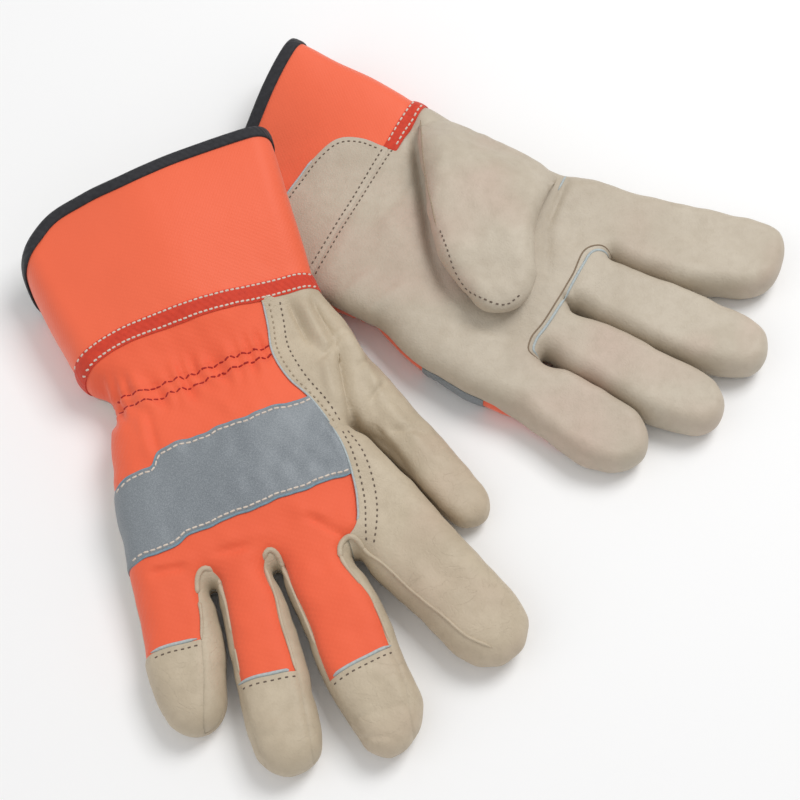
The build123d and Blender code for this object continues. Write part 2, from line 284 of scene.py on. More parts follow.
RIGHT = Glove(
    name="right",
    palm_up=False,
    mouth_at=(4.5, -60.0),
    outline=[
        (-54, -95), (-52, -62), (-50, -35), (-47.5, -8), (-46.5, 8), (-48.5, 16), (-51.8, 25),
        (-54.5, 39), (-60, 55), (-66, 76), (-72, 93), (-76, 107), (-76.6, 116), (-71, 123.5),
        (-62.5, 122.5),
        (-57.8, 115), (-54.5, 104), (-50.3, 92), (-45, 80), (-39.5, 71), (-38.2, 70.2), (-42.5, 82),
        (-47.3, 94), (-53, 111), (-58.6, 128.6), (-64.5, 145), (-69, 158.5), (-69, 168), (-63, 176),
        (-54, 179.5), (-46, 177), (-40, 170), (-35.5, 158), (-30, 146), (-22.5, 128.8), (-18.9, 119.5),
        (-17.7, 119.5), (-18.6, 129), (-20.6, 147), (-20.8, 168), (-18.5, 185), (-12, 193.5), (-3, 196),
        (4, 191), (7, 183), (9.6, 165), (10.8, 139), (11.4, 124), (11.6, 113), (12.6, 113), (12.6, 124),
        (12.9, 139), (15.6, 160), (18.5, 178), (23, 185.5), (30, 188.3), (38, 186.5), (43, 180),
        (43.5, 172), (41, 152), (37.8, 128), (36.8, 119), (36.5, 111), (37.6, 111), (38.4, 119),
        (39.6, 129), (44.6, 146), (49.5, 157), (56, 162), (63.5, 161), (68.6, 155.5), (70, 148),
        (69.5, 132.5), (67.2, 113.7), (64.7, 95.7), (62.5, 84), (60.8, 70), (58.6, 55), (54.5, 38),
        (49.5, 29), (48, 23.5), (50.5, 18.5), (55, 14), (57.3, 8), (59, -4), (61.8, -22), (63.6, -38),
        (63.5, -62), (63, -95),
    ],
    back=[
        (-24, -95), (-23, -30), (-22, 10), (-20.5, 20), (-18, 31), (-19.5, 45), (-25, 57),
        (-27.6, 68), (-29, 80),
        (-28.3, 92), (-26, 103), (-22, 111.5), (-18, 114), (-13.6, 115.8), (-12, 120), (-13.2, 128),
        (-16, 137), (-17, 150), (-16.8, 160), (-16, 172), (-13, 186), (-8, 202), (2, 202), (4.6, 186),
        (8, 172), (8.8, 160), (8.8, 139), (9.4, 124), (9.2, 114), (12, 107.6), (15.6, 112), (16.4, 125),
        (18, 136), (18.8, 148), (19.5, 158), (22, 172), (25, 184), (30, 196), (38, 194), (41.4, 176),
        (40.6, 163), (39, 149), (36, 131), (34, 118), (33.6, 110), (37.2, 105.2), (41.6, 109.5),
        (43, 115), (45, 122.5), (48, 132), (50.5, 141), (54, 151), (58, 161), (62, 172), (85, 170),
        (85, 100),
        (85, -95),
    ],
    gaps={
        "thumb": [(0, -60), (30, -50), (50, -41), (69, -38.6), (80, -43.8), (93, -49), (112, -55.2),
                  (120, -58.3), (130, -63),
                  (150, -72), (175, -90)],
        "index": [(100, -18.3), (119, -18.3), (130, -20.8), (150, -24.5), (190, -33)],
        "middle": [(100, 12.1), (113, 12.1), (139, 11.9), (165, 12.9), (195, 14)],
        "ring": [(100, 37), (111, 37), (128, 38.7), (146, 42.8), (175, 48)],
    },
    slits=[(-18.3, 119), (12.1, 113), (37, 111)],
    tops=[
        (-75, 43, 43.5, 31), (-60, 43, 43.5, 31), (-28, 38, 41, 30.5), (4, 28, 33, 28), (24, 25, 27, 24),
        (45, 26, 29, 26), (66, 25, 28, 25), (85, 24, 26, 23), (104, 21.5, 22.5, 20.5),
        (130, 20.5, 20.5, 19.5), (190, 19, 18.5, 18),
    ],
    lifts=[(-75, 25, -22), (-60, 24, -22), (-28, 17, -12), (4, 13, -32), (24, 4, -32), (45, 0, -32),
    (60, 0, -30)],
    tips={"middle": (159, 163.5), "ring": (156.5, 151), "little": (132, 128.5)},
    seam=[(-60, 7.5), (-45, 7), (-25, 6.6), (-6, 5.8), (15, 5), (36, 5), (57, 9)],
    band=(-0.6, 3.6),
    split=[(-60, 26), (-28, 21), (4, 15), (30, 11), (100, 9), (190, 8)],
    edges=(9.5, 11, 13, 11.5, 11),
    widest=0.42,
)

LEFT = Glove(
    name="left",
    palm_up=True,
    mouth_at=(-6.0, -60.0),
    outline=[
        (-57, -95), (-57, -62), (-57.5, -30), (-57, -5), (-56, 10), (-55, 20), (-54.8, 34), (-54, 50),
        (-53, 62), (-54, 72), (-56.3, 83), (-59, 95), (-62, 109), (-65.4, 123.4), (-70, 142),
        (-73.8, 157),
        (-73, 166), (-66, 171), (-56, 172), (-47.5, 170), (-41, 164), (-36.4, 153), (-32.4, 142),
        (-29.4, 128), (-27.8, 116), (-27.3, 107), (-26.3, 107), (-26.3, 116), (-27, 128), (-27.8, 142),
        (-28.8, 158), (-29, 171), (-24.5, 179.5), (-16, 182.5), (-8, 180), (-3, 171.5), (-0.3, 160),
        (1.2, 147), (1.4, 130), (1.4, 115), (1.6, 103.5), (2.7, 103.5), (2.9, 115), (2.8, 130),
        (2.8, 147),
        (3.7, 161), (6.5, 171), (12, 176.5), (19.5, 177.5), (26, 173.5), (29.5, 165), (30.6, 150),
        (29.8, 138), (28.4, 127), (28, 115), (27.9, 102.5), (28.9, 102.5), (29.5, 115), (30, 127),
        (31.5, 139), (34.8, 149.5), (40.5, 155.6), (47, 157.3), (53.5, 154.8), (58.5, 148.5), (60.3, 139),
        (60, 129), (57.4, 116), (54.7, 105), (55.6, 96), (56.9, 87), (56, 72), (53.8, 56), (49.5, 44),
        (46.6, 36), (45.4, 27), (45.6, 17), (45.5, 5), (45.5, -30), (45.5, -62), (45.5, -95),
    ],
    back=[
        (-24, -95), (-23, -30), (-22, 10), (-20, 31), (-22, 50), (-29, 62), (-33, 75), (-33, 88),
        (-31.5, 97),
        (-27, 99.5), (-22.5, 103), (-21.5, 112), (-23, 140), (-22, 165), (-19, 190), (-10, 190),
        (-5, 170),
        (-2, 150), (-2.4, 125), (-2.2, 108), (-1.2, 100), (2, 97), (5.6, 100), (6.5, 112), (7, 135),
        (8.4, 155),
        (12, 185), (21, 185), (26, 170), (27, 150), (25, 125), (24, 108), (25, 99), (28.4, 95.8),
        (31.8, 99),
        (33, 110), (36, 130), (41, 150), (47, 170), (80, 168), (80, 95), (80, -95),
    ],
    gaps={
        "index": [(95, -26.8), (107, -26.8), (123, -27.6), (142, -30.1), (160, -34), (190, -38)],
        "middle": [(95, 2.1), (149, 2.1), (162, 1.8), (190, 1.5)],
        "ring": [(95, 28.4), (102, 28.4), (118, 29), (139, 31), (160, 33), (180, 34)],
    },
    slits=[(-26.8, 107), (2.1, 103.5), (28.4, 102.5)],
    tops=[
        (-75, 33, 15, 8.5), (-60, 33, 15, 8.5), (-28, 30, 16, 9.5), (4, 26, 20, 11), (24, 24, 24, 20),
        (45, 24, 26, 23), (66, 24, 26, 23), (85, 23, 24.5, 22), (104, 20, 20.5, 19),
        (130, 18.8, 18.8, 18),
        (190, 17.5, 17.5, 17),
    ],
    lifts=[(-75, 0, -20), (190, 0, -20)],
    tips={"middle": (150, 151), "ring": (146, 145), "little": (128, 126)},
    seam=[(-60, 5.2), (-50, 5.2), (-25, 5.0), (10, 5), (45, 5)],
    band=(-2.6, 3.0),
    split=[(-60, 8), (30, 9), (50, 7.5), (92, 7), (106, 3.6), (190, 3.4)],
    edges=(9.5, 11, 12, 6.5, 6.5),
    widest=0.5,
)


# ---------------------------------------------------------------- the skin of a glove
def surface_net(values, origin, cell):
    """Points and triangles of the surface where a grid of values, positive inside, is zero."""
    inside = values > 0
    corner = [(i, j, k) for i in (0, 1) for j in (0, 1) for k in (0, 1)]
    nx, ny, nz = (n - 1 for n in values.shape)

    def shifted(a, c):
        return a[c[0] : c[0] + nx, c[1] : c[1] + ny, c[2] : c[2] + nz]

    count = sum(shifted(inside, c).astype(np.int8) for c in corner)
    active = (count > 0) & (count < 8)
    cells = np.argwhere(active)
    number = np.full(active.shape, -1)
    number[active] = np.arange(len(cells))
    at = np.zeros((len(cells), 3))
    hits = np.zeros(len(cells))
    for c in corner:
        for axis in range(3):
            if c[axis] == 1:
                continue
            d = tuple(1 if k == axis else c[k] for k in range(3))
            va, vb = shifted(values, c)[active], shifted(values, d)[active]
            cut = (va > 0) != (vb > 0)
            point = np.tile(np.array(c, float), (cut.sum(), 1))
            point[:, axis] = (va / (va - vb + 1e-30))[cut]
            at[cut] += point
            hits[cut] += 1
    points = (cells + at / hits[:, None]) * cell + origin
    quads = []
    for axis in range(3):
        u, v = (axis + 1) % 3, (axis + 2) % 3
        low = [slice(1, -1)] * 3
        low[axis] = slice(0, -1)
        high = [slice(1, -1)] * 3
        high[axis] = slice(1, None)
        a, b = inside[tuple(low)], inside[tuple(high)]
        start = np.array([1, 1, 1])
        start[axis] = 0
        for flip, edge in ((False, a & ~b), (True, ~a & b)):
            e = np.argwhere(edge) + start
            ring = []
            for du, dv in ((1, 1), (0, 1), (0, 0), (1, 0)):
                f = e.copy()
                f[:, u] -= du
                f[:, v] -= dv
                ring.append(number[tuple(f.T)])
            q = np.stack(ring, axis=1)
            quads.append(q[:, ::-1] if flip else q)
    quads = np.concatenate(quads)
    quads = quads[(quads >= 0).all(1)]
    return points, np.concatenate([quads[:, [0, 1, 2]], quads[:, [0, 2, 3]]])


def vertex_normals(points, faces):
    a, b, c = (points[faces[:, k]] for k in range(3))
    n = np.cross(b - a, c - a)
    total = np.zeros_like(points)
    for k in range(3):
        np.add.at(total, faces[:, k], n)
    return total / (np.linalg.norm(total, axis=1)[:, None] + 1e-12)


def rounded(u, v):
    return (u**ROUNDNESS + v**ROUNDNESS) ** (1 / ROUNDNESS)


def pillow(line, heights, radius, widest):
    """A stuffed form: full height inside, rounded down to its outline in plan."""
    origin = np.array([*line.min(0), 0.0]) - MARGIN
    size = ((np.array([*line.max(0), FORM_TOP]) + MARGIN - origin) / CELL).astype(int)
    xs, ys, zs = (origin[k] + CELL * np.arange(size[k]) for k in range(3))
    x, y = np.meshgrid(xs, ys, indexing="ij")
    flat = np.stack([x.ravel(), y.ravel()], 1)
    deep = plan_distance(flat, line)[0].reshape(x.shape)

    def shares(px, py, pz, d):
        low, top = heights(px, py)
        centre = low + (top - low) * widest
        half = np.where(pz > centre, top - centre, centre - low)
        return np.maximum(1 - d / radius(py), 0), np.abs(pz - centre) / half, centre, half

    u, v, _, _ = shares(x[..., None], y[..., None], zs[None, None], deep[..., None])
    points, faces = surface_net(1 - rounded(u, v), origin, CELL)
    for _ in range(2):
        d, way = plan_distance(points[:, :2], line)
        u, v, centre, half = shares(points[:, 0], points[:, 1], points[:, 2], d)
        s = rounded(u, v)
        sign = np.where(points[:, 2] > centre, 1, -1)
        inward = np.where(u > 0, radius(points[:, 1]) * (1 - u / s) - d, 0)
        points[:, :2] += way * inward[:, None]
        points[:, 2] = centre + sign * v / s * half
    return points, faces


class Sheet:
    """A triangle mesh with named values at its points, cut along their zero lines."""

    def __init__(self, points, normals, faces, **values):
        self.points, self.normals, self.faces, self.values = points, normals, faces, values

    def part(self, *wanted):
        """Where every named value is positive, or negative if its name has a minus."""
        sheet = self
        for name in wanted:
            value = -sheet.values[name[1:]] if name.startswith("-") else sheet.values[name]
            sheet = sheet.cut(value)
        return sheet

    def cut(self, value):
        value = np.where(np.abs(value) < 0.01, 0.01, value)
        up = value > 0
        count = up[self.faces].sum(1)
        rows = [np.column_stack([self.points, self.normals, *self.values.values()])]
        one, two = self.faces[count == 1], self.faces[count == 2]
        k = up[one].argmax(1)
        i = np.arange(len(one))
        a, b, c = one[i, k], one[i, (k + 1) % 3], one[i, (k + 2) % 3]
        k = up[two].argmin(1)
        i = np.arange(len(two))
        o, p, q = two[i, k], two[i, (k + 1) % 3], two[i, (k + 2) % 3]
        pairs = np.concatenate([np.stack(e, 1) for e in ((a, b), (a, c), (o, p), (o, q))])
        unique, back = np.unique(np.sort(pairs, axis=1), axis=0, return_inverse=True)
        back = back.ravel() + len(self.points)
        if len(unique):
            va, vb = value[unique[:, 0]], value[unique[:, 1]]
            t = (va / (va - vb))[:, None]
            rows.append(rows[0][unique[:, 0]] * (1 - t) + rows[0][unique[:, 1]] * t)
        n, m = len(one), len(two)
        ab, ac, op, oq = back[:n], back[n : 2 * n], back[2 * n : 2 * n + m], back[2 * n + m :]
        faces = np.concatenate([
            self.faces[count == 3],
            np.stack([a, ab, ac], 1),
            np.stack([op, p, q], 1),
            np.stack([op, q, oq], 1),
        ])
        table = np.concatenate(rows)
        used, renamed = np.unique(faces, return_inverse=True)
        table = table[used]
        values = {name: table[:, 6 + k] for k, name in enumerate(self.values)}
        return Sheet(table[:, :3], table[:, 3:6], renamed.reshape(-1, 3), **values)

    def rim(self):
        """Edges with a face on one side only, in the order of their face."""
        edges = np.concatenate([self.faces[:, [0, 1]], self.faces[:, [1, 2]], self.faces[:, [2, 0]]])
        size = len(self.points) + 1
        key = edges[:, 0] * size + edges[:, 1]
        return edges[~np.isin(key, edges[:, 1] * size + edges[:, 0])]

    def mine(self):
        """The faces whose points all belong to the finger being built."""
        keep = self.values["mine"] > 0
        faces = self.faces[keep[self.faces].all(1)]
        used, renamed = np.unique(faces, return_inverse=True)
        values = {name: value[used] for name, value in self.values.items()}
        return Sheet(self.points[used], self.normals[used], renamed.reshape(-1, 3), **values)


# ---------------------------------------------------------------- finishes
def set_inputs(node, **values):
    for key, value in values.items():
        node.inputs[key.replace("_", " ")].default_value = value


class Finish:
    """A node material on a Principled shader."""

    def __init__(self, name, roughness, turn=0.0, sheen=0.0, metallic=0.0):
        self.material = bpy.data.materials.new(name)
        self.material.use_nodes = True
        self.tree = self.material.node_tree
        self.shader = self.tree.nodes["Principled BSDF"]
        set_inputs(self.shader, Roughness=roughness, Metallic=metallic, Sheen_Weight=sheen,
                   Sheen_Roughness=0.45)
        where = self.add("ShaderNodeTexCoord")
        turned = self.add("ShaderNodeMapping")
        set_inputs(turned, Rotation=(0, 0, turn))
        self.link(where.outputs["Object"], turned.inputs["Vector"])
        self.at = turned.outputs["Vector"]

    def add(self, kind, **settings):
        node = self.tree.nodes.new(kind)
        for key, value in settings.items():
            setattr(node, key, value)
        return node

    def link(self, a, b):
        self.tree.links.new(a, b)

    def texture(self, kind, output, settings, **values):
        node = self.add(kind, **settings)
        set_inputs(node, **values)
        self.link(self.at, node.inputs["Vector"])
        return node.outputs[output]

    def noise(self, scale, detail=2.0, rough=0.5, distortion=0.0):
        return self.texture("ShaderNodeTexNoise", "Fac", {}, Scale=scale, Detail=detail,
                            Roughness=rough, Distortion=distortion)

    def cells(self, scale, feature="F1"):
        return self.texture("ShaderNodeTexVoronoi", "Distance", {"feature": feature}, Scale=scale)

    def ribs(self, half_mm, direction, distortion, squeeze=1.0):
        """Ribs across X or Y, about twice half_mm millimetres apart."""
        return self.texture("ShaderNodeTexWave", "Fac", {"bands_direction": direction},
                            Scale=1000 / half_mm / 6.28 * squeeze, Distortion=distortion)

    def steps(self, value, low, high):
        """The value stretched so that low gives 0 and high gives 1."""
        node = self.add("ShaderNodeMapRange")
        self.link(value, node.inputs["Value"])
        set_inputs(node, From_Min=low, From_Max=high)
        return node.outputs["Result"]

    def fill(self, socket, value):
        """Set a socket to a number or a colour, or link it to another socket."""
        if isinstance(value, (int, float)):
            socket.default_value = value
        elif isinstance(value, tuple):
            socket.default_value = (*value, 1.0)
        else:
            self.link(value, socket)

    def math(self, operation, a, b):
        node = self.add("ShaderNodeMath", operation=operation)
        for socket, value in zip(node.inputs, (a, b)):
            self.fill(socket, value)
        return node.outputs["Value"]

    def mix(self, share, a, b):
        node = self.add("ShaderNodeMix", data_type="RGBA")
        for number, value in ((0, share), (6, a), (7, b)):
            self.fill(node.inputs[number], value)
        return node.outputs[2]

    def colour(self, value):
        self.link(value, self.shader.inputs["Base Color"])

    def bump(self, *layers):
        """Stack height layers, each with its depth in millimetres."""
        normal = None
        for height, depth in layers:
            node = self.add("ShaderNodeBump")
            set_inputs(node, Strength=1.0, Distance=depth * MM)
            self.link(height, node.inputs["Height"])
            if normal is not None:
                self.link(normal, node.inputs["Normal"])
            normal = node.outputs["Normal"]
        self.link(normal, self.shader.inputs["Normal"])


def leather_finish(name, light, dark, pink, creasing):
    f = Finish(name, 0.58, sheen=0.05)
    mottled = f.steps(f.noise(38, 5, 0.6, 0.4), 0.36, 0.66)
    base = f.mix(mottled, light, tuple(0.5 * (a + b) for a, b in zip(light, dark)))
    blush = f.steps(f.noise(21, 2, 0.5, 0.2), 0.53, 0.75)
    base = f.mix(f.math("MULTIPLY", blush, 0.6), base, pink)
    streak = f.steps(f.noise(260, 3, 0.6), 0.45, 0.8)
    base = f.mix(f.math("MULTIPLY", streak, 0.35), base, dark)
    pores = f.steps(f.cells(2400), 0.0, 0.22)
    base = f.mix(f.math("MULTIPLY", f.math("SUBTRACT", 1.0, pores), 0.30), base, dark)
    f.colour(base)
    grain = f.cells(1500, "SMOOTH_F1")
    worn = f.math("ABSOLUTE", f.math("SUBTRACT", f.noise(42, 3, 0.55, 2.2), 0.5), 0.0)
    creases = f.math("MAXIMUM", f.steps(worn, 0.0, 0.018), f.steps(f.noise(26, 2), 0.52, 0.40))
    f.bump((f.noise(110, 4, 0.55, 0.6), 0.28), (creases, creasing), (grain, 0.12), (pores, 0.06))
    return f.material


def twill_finish(name, turn, light, dark, half_mm, depth, roughness=0.7):
    f = Finish(name, roughness, turn=turn + radians(38), sheen=0.25)
    weave = f.math("MULTIPLY", f.ribs(half_mm, "X", 0.6), f.ribs(half_mm, "Y", 0.6, 0.8))
    cloudy = f.steps(f.noise(30, 4, 0.55), 0.35, 0.7)
    # painted highlight: the tops of the weave's threads are painted a little lighter, where the bump is
    # high
    weave_highlight = tuple(min(1.0, c * 1.25) for c in light)
    f.colour(f.mix(f.math("MULTIPLY", weave, 0.07), f.mix(cloudy, light, dark), weave_highlight))
    f.bump((f.noise(90, 3), 0.35), (weave, depth))
    return f.material


def tape_finish():
    f = Finish("reflective_tape", 0.5, metallic=0.1)
    beads = f.noise(2200, 3, 0.8)
    brushed = f.steps(f.noise(26, 3, 0.6, 0.5), 0.35, 0.7)
    base = f.mix(brushed, (0.190, 0.213, 0.232), (0.168, 0.190, 0.211))
    base = f.mix(f.steps(beads, 0.42, 0.7), base, (0.30, 0.325, 0.345))
    f.colour(base)
    f.bump((f.noise(160, 3), 0.12), (beads, 0.04))
    return f.material


def ribbon_finish(name, turn, light, dark, half_mm):
    f = Finish(name, 0.75, turn=turn, sheen=0.15)
    f.colour(f.mix(f.steps(f.noise(600, 3, 0.6), 0.3, 0.75), light, dark))
    f.bump((f.ribs(half_mm, "DIAGONAL", 0.4), 0.12), (f.noise(900, 2), 0.12))
    return f.material


def plain_finish(name, light, dark, scale=900):
    f = Finish(name, 0.8, sheen=0.1)
    f.colour(f.mix(f.steps(f.noise(scale, 3, 0.6), 0.3, 0.7), light, dark))
    f.bump((f.noise(scale * 1.5, 2), 0.1))
    return f.material


LEATHER_TONES = {  # light, dark, pink, and how deep the creases are
    "right": ((0.57, 0.478, 0.35), (0.41, 0.33, 0.23), (0.56, 0.42, 0.315), 0.07),
    "left": ((0.555, 0.485, 0.385), (0.415, 0.345, 0.258), (0.57, 0.425, 0.345), 0.02),
}
PLAIN_TONES = {
    "lining": ((0.74, 0.68, 0.56), (0.60, 0.54, 0.43)),
    "elastic": ((0.72, 0.70, 0.64), (0.55, 0.53, 0.48)),
    "cut_edge": ((0.50, 0.56, 0.57), (0.38, 0.42, 0.42)),
    "tape_edge": ((0.22, 0.33, 0.40), (0.16, 0.25, 0.31)),
    "dark_thread": ((0.17, 0.125, 0.095), (0.10, 0.07, 0.05), 1500),
    "pale_thread": ((0.80, 0.70, 0.60), (0.60, 0.50, 0.42), 1500),
    "red_thread": ((0.42, 0.013, 0.010), (0.30, 0.009, 0.007), 1500),
    "brown_thread": ((0.27, 0.20, 0.135), (0.20, 0.14, 0.09), 1500),
    "tan_thread": ((0.42, 0.34, 0.24), (0.28, 0.21, 0.14), 1500),
}


def glove_finishes(glove):
    """Each look's material, with the weaves turned to lie along the glove."""
    turn = -np.arctan2(glove.x_dir[1], glove.x_dir[0])
    side = glove.name
    made = {
        "leather": leather_finish(f"{side}_leather", *LEATHER_TONES[side]),
        "fabric": twill_finish(f"{side}_back_twill", turn, (0.88, 0.128, 0.048),
                               (0.84, 0.115, 0.042), 0.8, 0.06),
        "cuff": twill_finish(f"{side}_cuff_canvas", turn, (0.89, 0.138, 0.054),
                             (0.87, 0.132, 0.05), 0.6, 0.05, 0.6),
        "tape": tape_finish(),
        "binding": ribbon_finish(f"{side}_binding", turn, (0.022, 0.022, 0.027),
                                 (0.008, 0.008, 0.011), 0.8),
        "seam_tape": ribbon_finish(f"{side}_seam_tape", turn, (0.68, 0.046, 0.014),
                                   (0.55, 0.032, 0.010), 0.7),
    }
    for look, tones in PLAIN_TONES.items():
        made[look] = plain_finish(f"{side}_{look}", *tones)
    return made


# ---------------------------------------------------------------- pieces
def solid(name, points, faces, finishes, slots=None, sharp=None):
    """A mesh object from points in the row frame."""
    mesh = bpy.data.meshes.new(name)
    mesh.from_pydata(points.tolist(), [], faces if isinstance(faces, list) else faces.tolist())
    for finish in finishes:
        mesh.materials.append(finish)
    if slots is not None:
        mesh.polygons.foreach_set("material_index", np.asarray(slots, np.int32))
    mesh.polygons.foreach_set("use_smooth", np.ones(len(mesh.polygons), bool))
    mesh.update(calc_edges=True)
    if sharp is not None:
        edges = np.empty(2 * len(mesh.edges), np.int64)
        mesh.edges.foreach_get("vertices", edges)
        key = np.sort(edges.reshape(-1, 2), axis=1) @ (len(points), 1)
        mark = mesh.attributes.new("sharp_edge", "BOOLEAN", "EDGE")
        mark.data.foreach_set("value", np.isin(key, np.sort(sharp, axis=1) @ (len(points), 1)))
    piece = bpy.data.objects.new(name, mesh)
    bpy.context.scene.collection.objects.link(piece)
    return piece


def attach(piece, glove, finger=None):
    """Ride on the glove's hand, or, for a finger's piece, have its placement baked into its mesh."""
    if finger is None:
        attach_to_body(piece, glove.body)
    else:
        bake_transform(piece)


def panel(glove, name, sheet, look, lift=0.0, thickness=FABRIC, curl=(0.0, 1.5), soft=(),
          finger=None, edge=None, nodes=None):
    """One cut piece of the skin: lifted, pressed down at its sewn edges, and given
    thickness. It replaces the CAD node of its own name, unless nodes says otherwise."""
    if not len(sheet.faces):
        return
    rim = sheet.rim()
    height = np.zeros(len(sheet.points)) + lift
    if curl[0]:
        sewn = np.unique(rim)
        for value in soft:
            sewn = sewn[np.abs(sheet.values[value][sewn]) > ON_EDGE]
        if len(sewn):
            tree = nearest_tree(sheet.points[sewn])
            away = np.array([tree.find(p)[2] for p in sheet.points])
            height -= curl[0] * np.exp(-((away / curl[1]) ** 2))
    outer = sheet.points + sheet.normals * height[:, None]
    outer[:, 2] = np.maximum(outer[:, 2], 0.9 - 0.6 * height)
    inner = sheet.points + sheet.normals * (height - thickness)[:, None]
    n = len(outer)
    a, b = rim[:, 0], rim[:, 1]
    sides = np.concatenate([np.stack([b, a, a + n], 1), np.stack([b, a + n, b + n], 1)])
    faces = np.concatenate([sheet.faces, sheet.faces[:, ::-1] + n, sides])
    finishes = [glove.finish[look]] + ([glove.finish[edge]] if edge else [])
    slots = np.r_[np.zeros(2 * len(sheet.faces), int), np.full(len(sides), 1 if edge else 0)]
    points = glove.to_row(np.concatenate([outer, inner]))
    sharp = np.concatenate([rim, rim + n])
    piece = solid(f"{glove.name}_{name}", points, faces, finishes, slots, sharp)
    replaced = (name,) if nodes is None else nodes
    if replaced:
        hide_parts(*[f"{glove.name}_{node}" for node in replaced])
    attach(piece, glove, finger)
    glove.surfaces.append((outer, sheet.faces))


DOWN = Vector((0, 0, -1))
ABOVE_ALL = 90.0  # height that seams are dropped from


def lay(glove, path):
    """Where points in plan land on the finished surface, with its normal there."""
    if glove.tree is None:
        at, faces, n = [], [], 0
        for points, triangles in glove.surfaces:
            at += points.tolist()
            faces += (triangles + n).tolist()
            n += len(points)
        glove.tree = BVHTree.FromPolygons(at, faces)
    landed = []
    for p in path:
        hit, normal, _, _ = glove.tree.ray_cast(Vector((p[0], p[1], ABOVE_ALL)), DOWN)
        if hit is not None:
            landed.append((hit, -normal if normal.dot(DOWN) > 0 else normal, p))
    return landed


THREAD_SIDES = 6
THREAD_ENDS = ((-0.5, 0.35), (-0.36, 1.0), (0.36, 1.0), (0.5, 0.35))  # along, and radius
THREAD_SINK = 0.05


def stitches(glove, name, lines, look, size, finger=None):
    """Rows of thread along lines in plan, laid on the surface. The size is the stitches'
    spacing, their length and the thread's radius."""
    pitch, length, radius = size
    m = THREAD_SIDES
    ring = [(cos(2 * pi * k / m), sin(2 * pi * k / m)) for k in range(m)]
    points, made = [], []
    for line in lines:
        path = smooth_open(line, pitch)
        middles = [(*(a + b) / 2, *(b - a)) for a, b in zip(path[:-1], path[1:])]
        for hit, normal, (_, _, dx, dy) in lay(glove, middles):
            t = Vector((dx, dy, 0))
            t = (t - normal * t.dot(normal)).normalized()
            s = normal.cross(t)
            base = hit - normal * THREAD_SINK
            first = len(points)
            for along, wide in THREAD_ENDS:
                middle = base + t * (along * length)
                points += [middle + s * (c * radius * wide) + normal * (v * radius * wide)
                           for c, v in ring]
            for j in range(len(THREAD_ENDS) - 1):
                for i in range(m):
                    a, b = first + m * j + i, first + m * j + (i + 1) % m
                    made.append((a, b, b + m, a + m))
            last = len(points) - m
            made.append(tuple(first + i for i in reversed(range(m))))
            made.append(tuple(last + i for i in range(m)))
    points = glove.to_row(np.array(points))
    piece = solid(f"{glove.name}_{name}", points, made, [glove.finish[look]])
    attach(piece, glove, finger)


def welt(glove, name, lines, look, half, rise, finger=None, taper=0.25, swell=0.0):
    """Raised lips of leather or cloth along lines in plan, laid on the surface. They
    narrow to their ends by the taper, and swell at their first end."""
    angles = np.linspace(pi * 1.15, -0.15 * pi, 7)
    section = [(half * cos(a), rise * sin(a)) for a in angles]
    m = len(section)
    points, made = [], []
    for line in lines:
        landed = lay(glove, smooth_open(line, 1.0))
        at = np.array([hit for hit, _, _ in landed])
        normal = np.array([n for _, n, _ in landed])
        for _ in range(2):
            at[1:-1] = (at[:-2] + 2 * at[1:-1] + at[2:]) / 4
            normal[1:-1] = (normal[:-2] + 2 * normal[1:-1] + normal[2:]) / 4
        across = np.cross(np.gradient(at, axis=0), normal)
        across /= lengths(across)[:, None] + 1e-9
        step = np.arange(len(at))
        size = np.minimum(1, 0.35 + taper * np.minimum(step, step[::-1]))
        size = size * (1 + swell * (1 - ramp(step, 0, 10)))
        first = len(points)
        for p, n, s, k in zip(at, normal, across, size):
            points += [p + s * (c * k) + n * (h * k) for c, h in section]
        for i in range(len(at) - 1):
            a = first + m * i
            made += [(a + j, a + (j + 1) % m, a + m + (j + 1) % m, a + m + j) for j in range(m)]
        made.append(tuple(first + j for j in reversed(range(m))))
        made.append(tuple(len(points) - m + j for j in range(m)))
    points = glove.to_row(np.array(points))
    piece = solid(f"{glove.name}_{name}", points, made, [glove.finish[look]])
    attach(piece, glove, finger)


def ordered_loop(edges):
    """The longest closed loop in a set of directed edges."""
    after = dict(edges.tolist())
    best = []
    while after:
        first = next(iter(after))
        loop, at = [], first
        while at in after:
            loop.append(at)
            at = after.pop(at)
        best = max(best, loop, key=len)
    return best


def even_loop(points, step):
    """A closed loop resampled at even steps, and smoothed a little."""
    closed = np.concatenate([points, points[:1]])
    along = np.r_[0, np.cumsum(lengths(np.diff(closed[:, :3], axis=0)))]
    at = np.linspace(0, along[-1], int(along[-1] / step), endpoint=False)
    even = np.stack([np.interp(at, along, column) for column in closed.T], axis=1)
    for _ in range(2):
        even = (np.roll(even, 1, 0) + 2 * even + np.roll(even, -1, 0)) / 4
    return even


# The binding's section, folded over the edge: distance into the cuff, and height
# above the cuff's outer surface, both in millimetres.
BINDING_SECTION = (
    (4.6, 0.1), (4.5, 0.75), (3.6, 1.0), (2.4, 1.1), (1.0, 1.15), (-0.3, 0.9), (-0.9, 0.0), (-1.1, -1.4),
    (-0.9, -2.9), (-0.3, -3.6), (1.0, -3.8), (3.6, -3.7), (4.5, -3.4), (4.6, -3.0), (0.5, -3.0),
    (0.5, 0.05),
)


